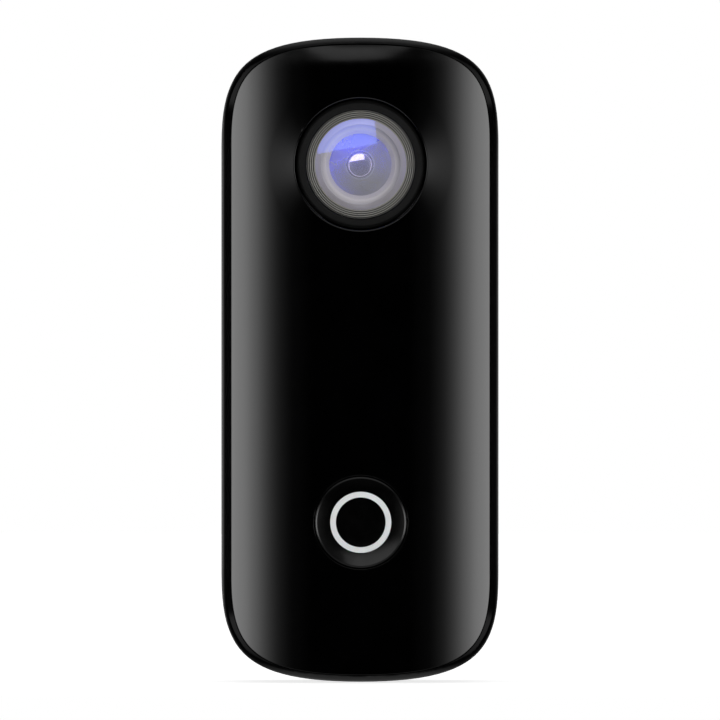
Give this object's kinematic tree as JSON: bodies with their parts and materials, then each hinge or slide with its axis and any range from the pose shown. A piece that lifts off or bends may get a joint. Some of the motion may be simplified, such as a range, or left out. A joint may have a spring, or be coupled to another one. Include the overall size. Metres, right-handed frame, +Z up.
{
  "type": "action camera",
  "caption": "Thumb-size upright pill-shaped action camera with a crowned gloss front, recessed round lens, lit shutter button, covered charging port, card slot and magnetic flat back.",
  "frame": {"origin": "centre of the flat rear mounting face", "axes": "+Y out of the back (the lens looks along -Y), +Z up the long side, +X to the right of someone who looks at the lens"},
  "size_m": [0.0262, 0.02, 0.061],
  "materials": {
    "cover_gloss": "high gloss, smoked black",
    "frame_black": "fine satin grain",
    "shell_black": "fine satin grain",
    "foam_tape_black": "matte adhesive foam",
    "film_adhesive": "translucent transfer film",
    "silicone_seal_grey": "soft satin",
    "silicone_clear": "translucent satin",
    "silicone_black": "soft matte",
    "plate_soft_black": "soft-touch",
    "magnet_nickel": "nickel plated",
    "yoke_steel": "brushed",
    "screw_steel": "machined, black nickel",
    "insert_brass": "knurled",
    "ring_graphite": "bead-blasted graphite",
    "barrel_black": "black anodised, turned grooves",
    "coated_glass": "anti-reflection coated, blue violet",
    "spacer_grey": "satin anodised",
    "baffle_black": "optical matte black",
    "holder_plastic": "glass-filled",
    "filter_glass": "blue-green filter",
    "sensor_ceramic": "brown ceramic package",
    "sensor_cover": "polished",
    "board_green": "solder mask",
    "flex_amber": "polyimide film",
    "connector_cream": "moulded",
    "button_black": "gloss",
    "diffuser_white": "milky diffuser",
    "switch_black": "moulded with steel frame",
    "plunger_grey": "moulded",
    "led_amber": "encapsulated",
    "chip_black": "moulded package",
    "shield_tin": "tin plated",
    "port_steel": "stainless",
    "tongue_black": "moulded with gilt contacts",
    "card_black": "moulded",
    "mode_black": "satin gloss",
    "microphone_steel": "pressed can",
    "mesh_black": "woven acoustic mesh",
    "battery_foil": "laminated foil",
    "lead_insulation": "insulated wire",
    "foam_grey": "open-cell foam"
  },
  "bodies": {
    "camera_body": {"aperture_stop": "baffle_black", "battery_cell": "battery_foil", "battery_foam": "foam_grey", "battery_leads": "lead_insulation", "battery_protection_board": "board_green", "battery_tape": "film_adhesive", "board_screws": "screw_steel", "button_seal": "silicone_clear", "card_socket": "shield_tin", "flex_connector": "connector_cream", "front_cover": "cover_gloss", "front_cover_adhesive": "foam_tape_black", "front_frame": "frame_black", "front_lens": "coated_glass", "housing_screws": "screw_steel", "housing_seal": "silicone_seal_grey", "image_sensor": "sensor_ceramic", "ir_filter": "filter_glass", "lens_barrel": "barrel_black", "lens_holder": "holder_plastic", "lens_seal": "silicone_seal_grey", "lens_spacer": "spacer_grey", "lens_trim_ring": "ring_graphite", "magnet_yoke": "yoke_steel", "magnets": "magnet_nickel", "main_board": "board_green", "memory_chip": "chip_black", "microphone": "microphone_steel", "microphone_mesh": "mesh_black", "middle_lens": "coated_glass", "mode_switch": "switch_black", "module_screws": "screw_steel", "port_cover_strap": "silicone_black", "processor": "chip_black", "rear_lens": "coated_glass", "rear_lens_retainer": "baffle_black", "rear_plate": "plate_soft_black", "rear_plate_adhesive": "film_adhesive", "rear_shell": "shell_black", "rear_spacer": "baffle_black", "reset_switch": "switch_black", "ring_leds": "led_amber", "sensor_board": "board_green", "sensor_flex": "flex_amber", "sensor_glass": "sensor_cover", "shield_can": "shield_tin", "shutter_switch": "switch_black", "third_lens": "coated_glass", "threaded_inserts": "insert_brass", "usb_port": "port_steel", "usb_tongue": "tongue_black", "wifi_antenna": "flex_amber"},
    "shutter_button": {"shutter_button": "button_black", "button_light_ring": "diffuser_white", "shutter_switch_plunger": "plunger_grey"},
    "mode_button": {"mode_button": "mode_black", "mode_switch_plunger": "plunger_grey"},
    "memory_card": {"memory_card": "card_black"},
    "port_cover": {"port_cover": "silicone_black"}
  },
  "joints": [
    {"name": "shutter_press", "type": "slide", "parent": "camera_body", "child": "shutter_button", "axis": [0, 1, 0], "range_m": [0, 0.0004], "stiffness_N_per_m": 3000, "springref_m": -0.0003},
    {"name": "mode_press", "type": "slide", "parent": "camera_body", "child": "mode_button", "axis": [-1, 0, 0], "range_m": [0, 0.0004], "stiffness_N_per_m": 3000, "springref_m": -0.0003},
    {"name": "card_slide", "type": "slide", "parent": "camera_body", "child": "memory_card", "axis": [1, 0, 0], "range_m": [-0.0006, 0.0145]},
    {"name": "port_cover_hinge", "type": "hinge", "parent": "camera_body", "child": "port_cover", "pos_m": [-0.01305, -0.013, -0.00475], "axis": [0, -1, 0], "range_deg": [0, 120]}
  ]
}
